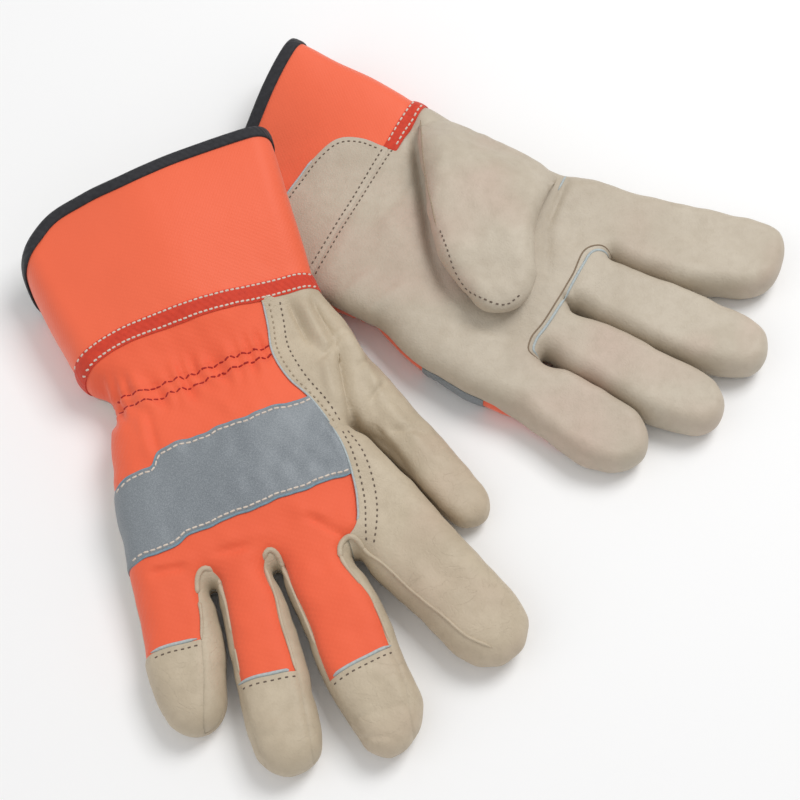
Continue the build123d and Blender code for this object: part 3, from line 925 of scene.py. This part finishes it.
def build_binding(glove, cuff):
    rim = cuff.rim()
    at_mouth = np.abs(cuff.values["mouth"][rim]).max(1) < ON_EDGE
    loop = ordered_loop(rim[at_mouth])
    rows = even_loop(np.column_stack([cuff.points[loop], cuff.normals[loop]]), 1.6)
    at, normal = rows[:, :3], rows[:, 3:]
    normal = normal / lengths(normal)[:, None]
    tangent = np.roll(at, -1, 0) - np.roll(at, 1, 0)
    tangent /= lengths(tangent)[:, None]
    inward = np.cross(normal, tangent)
    if inward[:, 1].mean() < 0:
        inward = -inward
        at, normal, inward = at[::-1], normal[::-1], inward[::-1]
    section = np.array(BINDING_SECTION)
    n, m = len(at), len(section)
    points = at[:, None] + inward[:, None] * section[:, :1] + normal[:, None] * section[:, 1:]
    points[..., 2] = np.maximum(points[..., 2], 0.0)
    i, j = np.meshgrid(np.arange(n), np.arange(m), indexing="ij")
    i2, j2 = (i + 1) % n, (j + 1) % m
    faces = np.stack([i * m + j, i2 * m + j, i2 * m + j2, i * m + j2], -1).reshape(-1, 4)
    points = glove.to_row(points.reshape(-1, 3))
    piece = solid(f"{glove.name}_cuff_binding", points, faces, [glove.finish["binding"]])
    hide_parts(f"{glove.name}_cuff_binding")
    attach(piece, glove)


# ---------------------------------------------------------------- relief of the cloth and leather
def ridge(x, y, a, b, width, height):
    """A soft fold along a straight line from a to b, fading at its ends."""
    a, b = np.array(a, float), np.array(b, float)
    long = np.linalg.norm(b - a)
    way = (b - a) / long
    t = (x - a[0]) * way[0] + (y - a[1]) * way[1]
    off = (x - a[0]) * way[1] - (y - a[1]) * way[0]
    fade = ramp(t, -0.15 * long, 0.25 * long) * (1 - ramp(t, 0.75 * long, 1.15 * long))
    return height * np.exp(-((off / width) ** 2)) * fade


def gathers(x, y, first, last, waves):
    """Cloth drawn in between two rows of elastic stitching."""
    centre, half = (first + last) / 2, (last - first) / 2
    window = np.exp(-(((y - centre) / (half + 7)) ** 4))
    pleats = np.sin(x * 0.95 + 1.6 * waves(x * 0.5, y * 0.3)) * 0.55 + 0.45 * waves(x * 1.2, y * 0.25)
    rows = np.exp(-(((y - first) / 1.2) ** 2)) + np.exp(-(((y - last) / 1.2) ** 2))
    return 1.25 * pleats * window - 1.0 * rows


ELASTIC_ROWS = (28.0, 33.5)
RIGHT_FOLDS = (
    ((-37, 14), (-39, 40), 2.2, 2.8), ((-44, 38), (-38, 72), 2.2, -4.2), ((-47.5, 30),
    (-52, 66), 3.2, 2.8),
    ((-32.5, 12), (-33.5, 34), 1.5, -2.0), ((-44, 72), (-50, 98), 2.8, -2.4), ((-52, 66),
    (-60, 96), 3.4, 1.6),
    ((-42, 14), (-43.5, 34), 1.7, -2.2), ((-36, 42), (-33, 62), 2.2, 1.6), ((-47, 34),
    (-35, 43), 1.2, -1.3),
    ((-50, 78), (-62, 84), 1.3, -1.0), ((-47, 64), (-56, 58), 1.3, -1.2), ((-46, 50),
    (-55, 44), 1.4, -0.9),
    ((36.5, 39), (38.5, 58), 1.5, -0.9), ((40, 36), (42, 56), 2.0, 0.6), ((50, 21), (31, 39), 1.8, 0.8),
    ((10, 37), (6, 52), 2.4, 0.5), ((-8, 36), (-12, 52), 2.0, 0.4),
    ((57, 99.5), (43.5, 102.5), 1.7, -1.2), ((33, 101.5), (18, 104.5), 1.7, -1.2), ((-6, 101),
    (-17, 115), 1.7, -1.4),
    ((58, 97), (40, 101), 2.4, 0.6), ((28, 98), (10, 102), 2.4, 0.5), ((-2, 97), (-14, 104), 2.4, 0.6),
    ((-34, 120), (-48, 150), 4.0, -0.6), ((8, 179.5), (-14, 183), 0.9, -0.5), ((7, 186),
    (-5, 192), 0.9, -0.45),
    ((4, 172), (-12, 170), 1.0, -0.3), ((24, 166), (36, 170), 1.0, -0.35), ((27, 178),
    (38, 174), 0.9, -0.35),
    ((55, 140), (66, 138), 1.0, -0.35), ((56, 150), (64, 146), 0.9, -0.3),
)
LEFT_FOLDS = (
    ((30, 40), (48, 30), 2.4, 0.8), ((26, 26), (44, 18), 2.0, 0.6), ((14, 92), (40, 88), 4.0, -0.8),
    ((-34, 88), (-20, 94), 3.0, -0.6), ((32, 62), (52, 60), 3.5, -0.6), ((36, 100), (52, 106), 3.0, 0.5),
    ((-22, 20), (10, 14), 2.6, -0.7), ((-54, -3), (12, 43), 3.2, -3.0), ((4, 35), (28, 60), 3.5, -1.2),
    ((-50, 76), (-24, 79), 1.8, -1.6), ((2.2, 98.5), (2.1, 112), 0.9, -2.2), ((-2, 10),
    (14, 28), 3.0, 0.5), ((34, 66), (30, 92), 3.0, -0.9), ((-24, 78), (0, 90), 3.0, -0.8),
)
FOLDS = {"right": RIGHT_FOLDS, "left": LEFT_FOLDS}


def relief(glove, x, y, backness, fabric, waves):
    broad, small, pleat = waves
    on_back = ramp(backness, 0, 4) * ramp(fabric, -2, 3)
    lift = 0.35 * broad(x, y) + 0.10 * small(x, y)
    lift = lift + on_back * gathers(x, y + 4 * ramp(x, 30, 50), *ELASTIC_ROWS, pleat)
    upper = ramp(-backness if glove.palm_up else backness, 0, 3)
    for a, b, width, height in FOLDS[glove.name]:
        lift = lift + upper * ridge(x, y, a, b, width, height)
    past_seam = ramp(y, -14, 12)
    return lift * past_seam + 0.15 * broad(x, y) * (1 - past_seam)


# ---------------------------------------------------------------- fields that the pieces are cut along
def mouth_y(glove, x, share):
    """Y of the cuff's mouth, for a share of the height from the underside."""
    if glove.name == "right":
        top = curve(x, (-60, -10, 12, 30, 48, 64), (-61.5, -61.5, -59.5, -60.5, -58.5, -46))
        under = curve(x, (-60, 10, 45, 64), (-60, -58, -48, -36))
    else:
        top = curve(x, (-58, -30, 10, 48), (-60, -60.5, -58.5, -58))
        under = top + 0.5
    return under + (top - under) * ramp(share, 0.15, 0.7)


TAPE_ROWS = {"right": (56.0, 91.5), "left": (56.0, 88.0)}
TAPE_STEP = 5.0
PATCH = [
    (-26, 30), (-26, -3), (-25.4, -11), (-21.5, -20), (-11, -25.3), (2, -27.2), (22, -27), (34, -23),
    (41, -14),
    (43, -4), (43, 30),
]


def tape_edges(side, x):
    """Y of the reflective tape's two edges, which aren't quite straight."""
    first, last = TAPE_ROWS[side]
    jog = TAPE_STEP * ramp(x, 38, 43)
    wobble = 0.45 * np.sin(0.33 * x + 1) + 0.2 * np.sin(0.8 * x)
    return first + jog + wobble, last + 0.4 * jog - 0.7 * wobble


def skin(glove):
    """The glove's whole skin with the values that its pieces are cut along."""
    points, faces = pillow(glove.line, glove.heights, glove.edge_radius, glove.widest)
    normals = vertex_normals(points, faces)
    x, y, z = points.T
    split = columns(y, glove.split)[0]
    if glove.palm_up:
        split = split + 4.5 * ramp(x, 36, 50) * ramp(y, 30, 42) * (1 - ramp(y, 94, 106))
    else:
        split = split - 7.0 * ramp(x, 30, 48) * ramp(y, -8, 2) * (1 - ramp(y, 34, 60))
    backness = (split - z) if glove.palm_up else (z - split)
    fabric = plan_distance(points[:, :2], glove.back_line)[0]
    waves = (Waves(34), Waves(11), Waves(13))
    points = points + normals * relief(glove, x, y, backness, fabric, waves)[:, None]
    points[:, 2] = np.maximum(points[:, 2], 0.0)
    normals = vertex_normals(points, faces)
    x, y, z = points.T
    low, top = glove.heights(x, y)
    seam = y - columns(x, glove.seam)[0]
    first, last = tape_edges(glove.name, x)
    patch = plan_distance(points[:, :2], smooth_closed(PATCH))[0]
    index_line = y - (71.5 + 0.3 * (x + 33))
    if "thumb" in glove.gaps:
        index_line = np.minimum(index_line, x - glove.gap_x("thumb", y))
    beyond, cap = np.full(len(x), OUTSIDE), np.full(len(x), OUTSIDE)
    number = glove.finger_at(x, y)
    slits = glove.slits
    ends = dict(zip(FINGERS, (slits[:1], slits[:2], slits[1:], slits[2:])))
    ends["thumb"] = [THUMB_CROTCH]
    for name, (root, way) in glove.fingers().items():
        start = max((np.array(end) - root) @ way for end in ends[name]) + BEND_START
        mine = number == (THUMB if name == "thumb" else FINGERS.index(name))
        beyond[mine] = (points[mine, :2] - root) @ way - start
        glove.bends[name] = tuple(
            glove.to_row([*(root + way * s), BEND_HEIGHT]).tolist()
            for s in (start, start + BEND_LENGTH)
        )
        if name in glove.tips:
            cap[mine] = y[mine] - glove.cap_y(name, x[mine])
    return Sheet(
        points, normals, faces,
        mouth=y - mouth_y(glove, x, (z - low) / np.maximum(top - low, 1)),
        seam=seam,
        back=backness,
        fabric=fabric,
        tape=np.minimum(y - first, last - y),
        patch=patch,
        beyond=beyond,
        cap=cap,
        band=glove.band[1] - np.abs(seam - glove.band[0]),
        below_patch_seam=y - 1.4 + 0.025 * x,
        index_line=index_line,
    )


# ---------------------------------------------------------------- one glove
THUMB_WRAP = -14.0  # X up to which the palm's leather laps onto the back
WEB_X = -17.5  # between the index panel and the leather between the fingers
LINING_END = 22.0  # Y that the cuff's lining reaches
FINGER_FRONTS = [  # seen in plan, sewn to the left palm along their base
    (-26.6, 125), (-26.6, 112), (-25.6, 104.5), (-22, 100.3), (-8, 100), (6, 99.7), (20, 99),
    (27.5, 97.6), (31.3, 99), (29, 104), (28.4, 112), (28.4, 125),
]
SOFT = ("beyond",)  # a panel isn't pressed down where it goes on into a finger


def build_glove(glove):
    glove.finish = glove_finishes(glove)
    whole = skin(glove)
    v, x = whole.values, whole.points[:, 0]
    cuff = whole.part("mouth", "-seam")
    build_binding(glove, cuff)
    panel(glove, "cuff_back", cuff.part("back"), "cuff", thickness=CUFF)
    panel(glove, "cuff_palm", cuff.part("-back"), "cuff", thickness=CUFF)
    v["inside"] = LINING_END - whole.points[:, 1]
    panel(glove, "cuff_lining", whole.part("mouth", "inside"), "lining", lift=-CUFF - 0.05,
          thickness=LINING)

    # the palm's leather, which laps round the thumb side and runs out over the cuff as a patch
    reach = np.maximum(v["seam"], np.minimum(v["patch"], v["below_patch_seam"]))
    wrap = np.minimum(np.minimum(-v["fabric"], -v["index_line"]), THUMB_WRAP - x)
    v["palm"] = np.minimum(reach, np.maximum(-v["back"], np.minimum(wrap, v["seam"])))
    v["patch_only"] = np.minimum(np.minimum(v["patch"], -v["below_patch_seam"]), -v["back"])
    v["fronts"] = np.full(len(x), OUTSIDE)
    if glove.palm_up:
        v["fronts"] = plan_distance(whole.points[:, :2], smooth_closed(FINGER_FRONTS))[0]
    hand = whole.part("-beyond")
    palm = hand.part("palm")
    over_cuff = 0.9 * (1 - ramp(palm.points[:, 1], 5, 14)) * ramp(palm.values["patch"], -3, 2)
    palm.values["over"] = over_cuff
    rest = palm.part("-fronts")
    nodes = ["palm_leather", "palm_lining"] + ([] if glove.palm_up else ["thumb_base"])
    panel(glove, "palm_leather", rest, "leather", 0.35 + rest.values["over"], LEATHER,
          (0.35, 1.3), SOFT, edge="cut_edge", nodes=nodes)
    panel(glove, "finger_fronts_leather", palm.part("fronts"), "leather", 0.35, LEATHER,
          (0.5, 1.4), SOFT, nodes=())
    panel(glove, "wrist_patch", whole.part("patch_only"), "leather", 1.3, LEATHER, (0.3, 1.2),
          edge="cut_edge")

    # the fabric back, with its tape, elastic and leather index panel
    back = hand.part("back", "seam")
    fabric = back.part("fabric")
    panel(glove, "back_panel", fabric, "fabric", curl=(0.5, 1.5), soft=SOFT)
    panel(glove, "reflective_tape", fabric.part("tape"), "tape", 0.75, TAPE, (0.35, 1.0))
    leather = back.part("-fabric", "index_line")
    leather.values["web"] = leather.points[:, 0] - WEB_X
    panel(glove, "index_panel", leather.part("-web"), "leather", 0.9, LEATHER, (0.4, 1.2), SOFT,
          edge="cut_edge")
    panel(glove, "finger_webs", leather.part("web"), "leather", 0.3, LEATHER, (0.5, 1.2), SOFT,
          nodes=())
    elastic = whole.part("back", "fabric")
    elastic.values["rows"] = 7.5 - np.abs(elastic.points[:, 1] - sum(ELASTIC_ROWS) / 2)
    panel(glove, "wrist_elastic", elastic.part("rows"), "elastic", -FABRIC - 0.1, ELASTIC)
    v["tape_round"] = np.minimum(v["band"], -np.minimum(v["patch"], -v["back"]))
    panel(glove, "seam_tape", whole.part("tape_round"), "seam_tape", 0.95, SEAM_TAPE, (0.35, 0.9))

    number = glove.finger_at(x, whole.points[:, 1])
    for k, name in enumerate(FINGERS):
        v["mine"] = np.where(number == k, 5.0, -5.0)
        build_finger(glove, name, whole.part("beyond").mine())
    if not glove.palm_up:
        v["mine"] = np.where(number == THUMB, 5.0, -5.0)
        thumb = whole.part("beyond").mine()
        parts = {"thumb_front": thumb.part("-back"), "thumb_back": thumb.part("back")}
        build_thumb(glove, parts, 0.35, SOFT)


def build_finger(glove, name, finger):
    shared = dict(soft=SOFT, finger=name, thickness=LEATHER)
    back = finger.part("back")
    panel(glove, f"{name}_front", finger.part("-back"), "leather", 0.35, curl=(0.35, 1.3), **shared)
    if name == "index":
        panel(glove, f"{name}_back", back, "leather", 0.9, curl=(0.6, 1.2), **shared)
        return
    panel(glove, f"{name}_side_walls", back.part("-fabric"), "leather", 0.3, curl=(0.45, 1.2),
          **shared)
    strip = back.part("fabric")
    panel(glove, f"{name}_back", strip.part("-cap"), "fabric", curl=(0.4, 1.5),
          soft=("beyond", "cap"), finger=name)
    panel(glove, f"{name}_tip_cap", strip.part("cap"), "leather", 0.8, curl=(0.45, 1.2),
          edge="cut_edge", **shared)


def build_thumb(glove, parts, lift, soft=()):
    for name, part in parts.items():
        panel(glove, name, part, "leather", lift, LEATHER, (0.35, 1.3), soft, finger="thumb")


# ---------------------------------------------------------------- the left thumb, folded on the palm
THUMB_LINE = [
    (-54.2, 40), (-54.4, 26), (-54.5, 13), (-53, 6.5), (-47, 6), (-39, 9.8), (-24, 18.5), (-6, 30.5),
    (8, 41),
    (19, 52.5), (26.5, 65), (28.8, 76), (25.5, 84.5), (17.5, 88.2), (7, 86.6), (-5, 80.8), (-16, 76.6),
    (-30, 74.6), (-42, 73.8), (-48.5, 73.2), (-51.5, 66), (-53, 52),
]


def thumb_heights(x, y):
    low = 26.9 - 22.0 * (1 - ramp(x, -52, -38))
    top = 42.0 - 15.5 * (1 - ramp(x, -58, -24)) - 2.5 * ramp(x + y, 70, 108)
    return low, top - 8 * (1 - ramp(y - 0.2 * x, 12, 36)) - 4 * ramp(y - 0.6 * x, 84, 104)


def thumb_radius(y):
    return 9.5 - 2.5 * ramp(y, 58, 72) * (1 - ramp(y, 74, 80)) - 2.5 * (1 - ramp(y, 6, 26))


def build_left_thumb(glove):
    points, faces = pillow(smooth_closed(THUMB_LINE), thumb_heights, thumb_radius, 0.45)
    normals = vertex_normals(points, faces)
    broad, small = Waves(30), Waves(10)
    x, y, z = points.T
    lift = 0.4 * broad(x, y) + 0.1 * small(x, y)
    points = points + normals * lift[:, None]
    x, y, z = points.T
    low, _ = thumb_heights(x, y)
    whole = Sheet(points, vertex_normals(points, faces), faces, under=low + 5.0 - z)
    hinge = glove.to_plan(named(frame["joints"], "left_thumb_open")["pos_m"])
    glove.bends["thumb"] = tuple(
        glove.to_row([hinge[0] + past, hinge[1], 30.0]).tolist() for past in (1.0, 22.0)
    )
    build_thumb(glove, {"thumb_back": whole.part("-under"), "thumb_front": whole.part("under")}, 0.0)


# ---------------------------------------------------------------- seams
def seam_rows(glove, offsets, first, last):
    """Lines along the seam between hand and cuff, at offsets from it."""
    x = np.arange(first, last, 4.0)
    y = columns(x, glove.seam)[0]
    return [list(zip(x, y + off)) for off in offsets]


def wavy(points, size, pitch):
    line = smooth_open(points, 1.0)
    return [(x, y + size * sin(2 * pi * x / pitch)) for x, y in line]


def tape_lines(inward, *ends):
    """A line inside each edge of the right glove's reflective tape."""
    lines = []
    for side, way, (first, last) in zip((0, 1), (1, -1), ends):
        x = np.arange(first, last, 1.5)
        lines.append(list(zip(x, tape_edges("right", x)[side] + way * inward)))
    return lines


def sew_right(glove):
    dots = (2.3, 1.15, 0.36)
    stitches(glove, "cuff_seam_stitching", seam_rows(glove, (-3.4, 2.2), -46, 60), "pale_thread",
             (2.1, 1.6, 0.44))
    upper = [(49, 24.5), (37, 28), (20, 28.5), (-2, 28), (-18.4, 28.5)]
    lower = [(49.5, 30), (36, 33.5), (19, 33.8), (-2, 33), (-17.6, 33)]
    rows = [wavy(row, 0.7, 5.4) for row in (upper, lower)]
    stitches(glove, "elastic_stitching", rows, "red_thread", (2.6, 2.3, 0.45))
    strip = [(-22.3, 10.5), (-20.7, 20), (-18.2, 31), (-19.7, 45), (-25.2, 57), (-28.2, 69)]
    panel_edge = [(-28.3, 71), (-29.2, 80), (-28.5, 92), (-26.2, 103), (-22.2, 111.5), (-18.2, 113.8)]
    welt(glove, "leather_edge", [strip, panel_edge], "cut_edge", 0.42, 0.4)
    stitches(glove, "leather_stitching", [
        [(-24.6, 11), (-23, 20), (-20.5, 31), (-22, 45.5), (-27, 58), (-30.2, 69.5)],
    ], "tan_thread", dots)
    stitches(glove, "leather_second_stitching", [
        [(-29, 11.5), (-27.4, 20), (-25, 31), (-26.3, 46), (-30.3, 59), (-32.6, 69.5)],
        [(-31.4, 74), (-31.7, 82), (-31, 93), (-28.9, 104), (-24.8, 115), (-23.4, 119)],
        [(-33.4, 74), (-35.5, 84), (-35.2, 96), (-32.7, 107), (-28.6, 116), (-25.6, 121)],
    ], "dark_thread", dots)
    welt(glove, "tape_edges", tape_lines(0, (-24.6, 61), (-28, 64)), "tape_edge", 0.5, 0.45)
    stitches(glove, "tape_stitching", tape_lines(1.5, (-25, 60), (-28, 63)), "pale_thread",
             (2.5, 2.1, 0.42))
    welt(glove, "crotch_lips", [
        [(43, 113), (41.8, 109.2), (40, 106.2), (37.4, 104.9), (34.8, 106.6), (33.8, 109.6),
         (33.9, 112.8)],
        [(16, 114.8), (15.6, 111.4), (14.2, 108.6), (12, 107.3), (10, 108.8), (9.2, 111.8), (9.1, 114.8)],
        [(-12, 120.8), (-13.8, 116.2), (-18, 114.2), (-21, 117.6), (-21.8, 120.8)],
    ], "leather", 1.2, 1.15, taper=1.0)
    lips = {
        "index": [[(-21.2, 118.4), (-22.6, 122.5), (-26, 129), (-33, 145), (-39.2, 157.5),
                   (-44.2, 168), (-51, 175)]],
        "middle": [
            [(9.1, 112.8), (9.2, 118), (9.2, 124), (8.8, 139), (9, 158)],
            [(-12.4, 119), (-12.4, 122.5), (-13.5, 128), (-16.3, 137), (-17.3, 150), (-17.1, 158)],
        ],
        "ring": [
            [(15.8, 112.8), (16, 119), (16.1, 125), (17.7, 136), (18.5, 148), (19.2, 155)],
            [(33.9, 111), (34.2, 117.5), (36.2, 131), (39.2, 149), (40.4, 153)],
        ],
        "little": [[(42.5, 111.2), (43.4, 116.5), (44.6, 122.5), (47.6, 131)]],
    }
    for name, lines in lips.items():
        welt(glove, f"{name}_lips", lines, "leather", 0.62, 0.62, name, swell=0.85)
    for name, left, right in (("middle", -16.9, 8.9), ("ring", 19.4, 40.6), ("little", 49, 66.5)):
        row = [(x, glove.cap_y(name, x)) for x in np.linspace(left, right, 6)]
        edge, thread = ([(x, y + off) for x, y in row] for off in (-0.7, 2.1))
        welt(glove, f"{name}_cap_edge", [edge], "cut_edge", 0.7, 1.0, name)
        stitches(glove, f"{name}_cap_stitching", [thread], "dark_thread", (2.2, 1.3, 0.34), name)


def sew_left(glove):
    dots = (2.3, 1.25, 0.36)
    stitches(glove, "cuff_seam_stitching", seam_rows(glove, (-4.9, -0.9), -53, -28),
             "pale_thread", (2.4, 1.8, 0.42))
    stitches(glove, "wrist_stitching", [
        [(-25, -0.2), (-6, -0.6), (13, -1), (33.7, -1.9), (40, -2.5)],
        [(-27, 3.7), (-6, 2.8), (17, 2.4), (35, 1.8), (41, 1.5)],
        [(-24, -2), (-23.4, -10.6), (-19.9, -18.4), (-10.3, -23.3), (2.2, -25.1), (22, -24.9),
         (33, -21), (39, -13)],
    ], "dark_thread", dots)
    edge = [(-26, 0), (-25.4, -11), (-21.5, -20), (-11, -25.3), (2, -27.2), (22, -27), (34, -23),
    (41, -14)]
    welt(glove, "patch_edge", [edge], "cut_edge", 0.5, 0.45)
    welt(glove, "finger_seam_edge", [
        [(-26.5, 110), (-25.8, 104.5), (-22.4, 100.6), (-15, 99.8), (-4, 99.6), (3, 99.6)],
        [(1.5, 99.6), (10, 99.4), (19, 98.8), (26.5, 97.8), (30.5, 98.8), (30, 102)],
    ], "cut_edge", 0.6, 0.6)
    welt(glove, "finger_seam_cord", [
        [(-27.9, 108), (-27.3, 103), (-23.5, 98.6), (-8, 98), (6, 97.7), (19, 97), (27, 95.8),
         (32, 97.4), (31.8, 102)],
    ], "brown_thread", 0.35, 0.3)
    fold = [(-52.5, 74.3), (-47, 75), (-41, 75.4)]
    welt(glove, "thumb_seam_edge", [fold], "cut_edge", 0.5, 0.45)
    lip = [(-45, 7.6), (-38.6, 11.2), (-24, 19.6), (-6.4, 31.6), (7.2, 42)]
    welt(glove, "thumb_lip", [lip], "tan_thread", 0.35, 0.3, "thumb")
    stitches(glove, "thumb_stitching", [
        [(8.4, 44.2), (16.2, 51.9), (20.5, 56.3), (26.0, 65.4), (27.8, 75.4), (24.8, 83.5),
         (19, 86.2)],
    ], "dark_thread", dots, "thumb")


build_glove(RIGHT)
build_glove(LEFT)
build_left_thumb(LEFT)
sew_right(RIGHT)
sew_left(LEFT)


# ---------------------------------------------------------------- floor, light and camera
def place(name, data, at, towards):
    thing = bpy.data.objects.new(name, data)
    thing.location = at
    thing.rotation_euler = towards.to_track_quat("-Z", "Y").to_euler()
    bpy.context.scene.collection.objects.link(thing)
    return thing


def studio():
    mesh = bpy.data.meshes.new("floor")
    size = 3.0
    corners = [(-size, -size, 0), (size, -size, 0), (size, size, 0), (-size, size, 0)]
    mesh.from_pydata(corners, [], [(0, 1, 2, 3)])
    floor = bpy.data.objects.new("floor", mesh)
    bpy.context.scene.collection.objects.link(floor)
    floor.location.z = -0.0004  # just under the gloves, so that the two don't flicker
    pale = bpy.data.materials.new("pale_floor")
    pale.use_nodes = True
    shader = pale.node_tree.nodes["Principled BSDF"]
    set_inputs(shader, Base_Color=(0.95, 0.95, 0.95, 1), Roughness=0.9)
    mesh.materials.append(pale)

    world = bpy.data.worlds.new("studio")
    world.use_nodes = True
    set_inputs(world.node_tree.nodes["Background"], Color=(1, 1, 1, 1), Strength=0.5)
    bpy.context.scene.world = world
    for name, at, side, power in (
        ("key", (0.5, 0.42, 1.15), 0.6, 9.2),
        ("fill", (-0.9, -0.5, 0.9), 1.2, 3.2),
    ):
        light = bpy.data.lights.new(name, "AREA")
        light.size, light.energy = side, power
        place(name, light, at, -Vector(at))


def camera():
    elevation = radians(64)
    distance, frame_width = 0.65, 0.33
    target = Vector((-0.0011, -0.0042, 0))
    back = Vector((0, -cos(elevation), sin(elevation)))
    data = bpy.data.cameras.new("camera")
    data.sensor_width = 36
    data.lens = data.sensor_width * distance / frame_width
    bpy.context.scene.camera = place("camera", data, target + back * distance, -back)


studio()
camera()
bpy.context.scene.view_settings.view_transform = "Standard"
